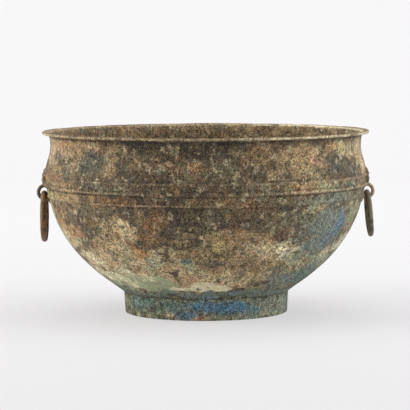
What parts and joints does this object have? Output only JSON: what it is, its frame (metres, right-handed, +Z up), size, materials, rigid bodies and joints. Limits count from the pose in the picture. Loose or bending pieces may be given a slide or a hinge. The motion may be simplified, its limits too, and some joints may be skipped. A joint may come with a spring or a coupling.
{
  "type": "bronze zeng steamer",
  "caption": "Ancient bronze zeng, a steaming bowl with flared lip, ribbed shoulder, pierced floor, ring foot and hanging ring handles.",
  "frame": {"origin": "middle of the foot's standing ring, on the surface it stands on", "axes": "+Z up through the mouth, +X through the right-hand ring handle, -Y towards the pictured side"},
  "size_m": [0.301, 0.29, 0.1615],
  "materials": {
    "patinated_bronze": "buried bronze with a granular brown, green and blue patina",
    "ring_bronze": "dark brown bronze, smoother where it was handled"
  },
  "bodies": {
    "bowl": {"steamer_bowl": "patinated_bronze", "handle_loop_left": "patinated_bronze", "handle_loop_right": "patinated_bronze"},
    "left_ring": {"ring_handle_left": "ring_bronze"},
    "right_ring": {"ring_handle_right": "ring_bronze"}
  },
  "joints": [
    {"name": "left_ring_swing", "type": "hinge", "parent": "bowl", "child": "left_ring", "pos_m": [-0.14377, 0, 0.10575], "axis": [0, 1, 0], "range_deg": [-15, 160]},
    {"name": "right_ring_swing", "type": "hinge", "parent": "bowl", "child": "right_ring", "pos_m": [0.14362, 0, 0.10547], "axis": [0, -1, 0], "range_deg": [-20, 158]}
  ]
}
